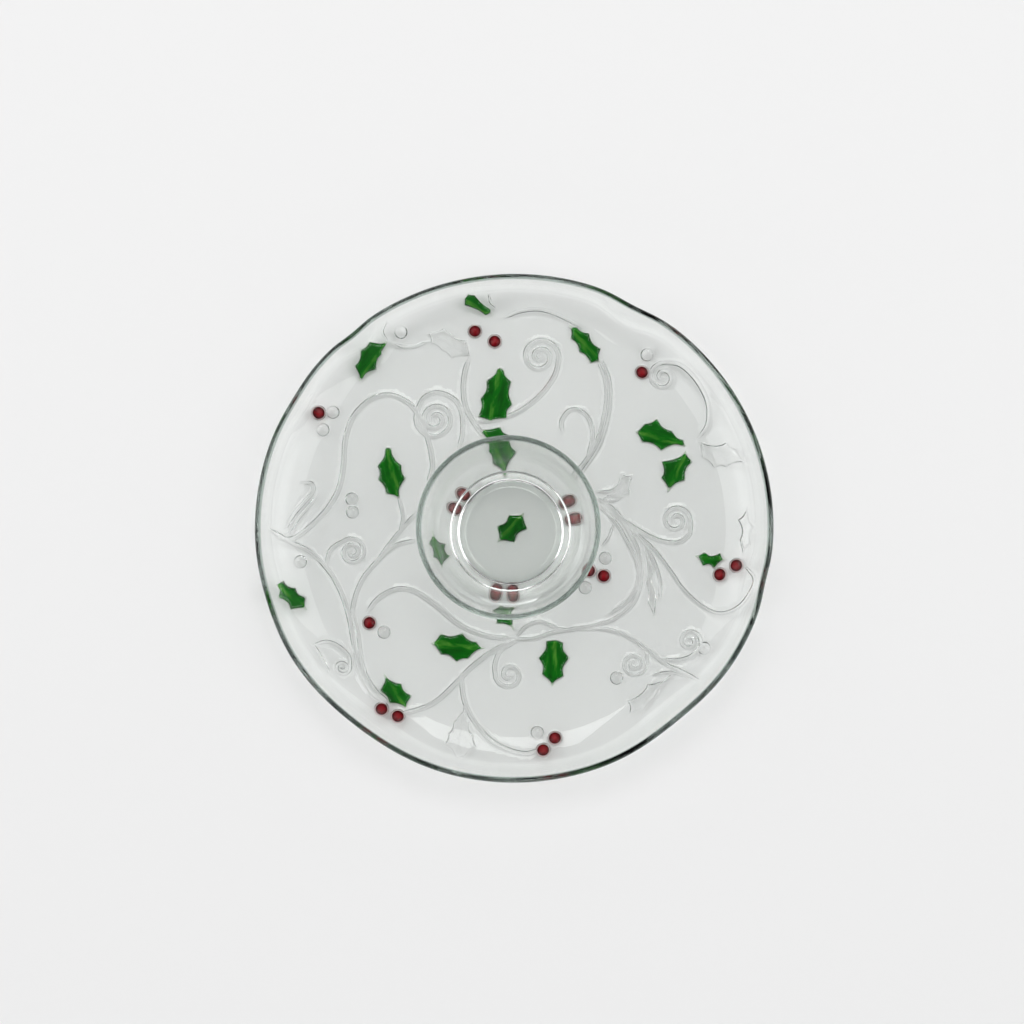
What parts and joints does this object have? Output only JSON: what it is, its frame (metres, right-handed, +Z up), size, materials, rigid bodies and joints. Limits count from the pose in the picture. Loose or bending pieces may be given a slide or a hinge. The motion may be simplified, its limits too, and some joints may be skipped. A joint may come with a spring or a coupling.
{
  "type": "chip and dip server",
  "caption": "Round pressed-glass platter with a pinched rim and enamelled holly pressed into its underside, carrying a loose glass dip bowl on its flat floor.",
  "frame": {"origin": "on the table, under the middle of the platter's outline", "axes": "+Z up out of the platter, +X along its slightly longer width, +Y away from a viewer who looks along +Y"},
  "size_m": [0.3314, 0.3258, 0.0449],
  "materials": {
    "platter_glass": "clear pressed glass, fire-polished",
    "bowl_glass": "clear pressed glass, fire-polished",
    "leaf_enamel": "fired dark green enamel, glossy through the glass",
    "berry_enamel": "fired deep red enamel, glossy through the glass"
  },
  "bodies": {
    "platter": {"platter": "platter_glass", "leaf_enamel_01": "leaf_enamel", "leaf_enamel_02": "leaf_enamel", "leaf_enamel_03": "leaf_enamel", "leaf_enamel_04": "leaf_enamel", "leaf_enamel_05": "leaf_enamel", "leaf_enamel_06": "leaf_enamel", "leaf_enamel_07": "leaf_enamel", "leaf_enamel_08": "leaf_enamel", "leaf_enamel_09": "leaf_enamel", "leaf_enamel_10": "leaf_enamel", "leaf_enamel_11": "leaf_enamel", "leaf_enamel_12": "leaf_enamel", "leaf_enamel_13": "leaf_enamel", "leaf_enamel_14": "leaf_enamel", "leaf_enamel_15": "leaf_enamel", "leaf_enamel_16": "leaf_enamel", "berry_enamel_01": "berry_enamel", "berry_enamel_02": "berry_enamel", "berry_enamel_03": "berry_enamel", "berry_enamel_04": "berry_enamel", "berry_enamel_05": "berry_enamel", "berry_enamel_06": "berry_enamel", "berry_enamel_07": "berry_enamel", "berry_enamel_08": "berry_enamel", "berry_enamel_09": "berry_enamel", "berry_enamel_10": "berry_enamel", "berry_enamel_11": "berry_enamel", "berry_enamel_12": "berry_enamel", "berry_enamel_13": "berry_enamel", "berry_enamel_14": "berry_enamel", "berry_enamel_15": "berry_enamel", "berry_enamel_16": "berry_enamel", "berry_enamel_17": "berry_enamel", "berry_enamel_18": "berry_enamel", "berry_enamel_19": "berry_enamel"},
    "dip_bowl": {"dip_bowl": "bowl_glass"}
  },
  "joints": [
    {"name": "bowl_lift", "type": "slide", "parent": "platter", "child": "dip_bowl", "axis": [0, 0, 1], "range_m": [0, 0.12]}
  ]
}
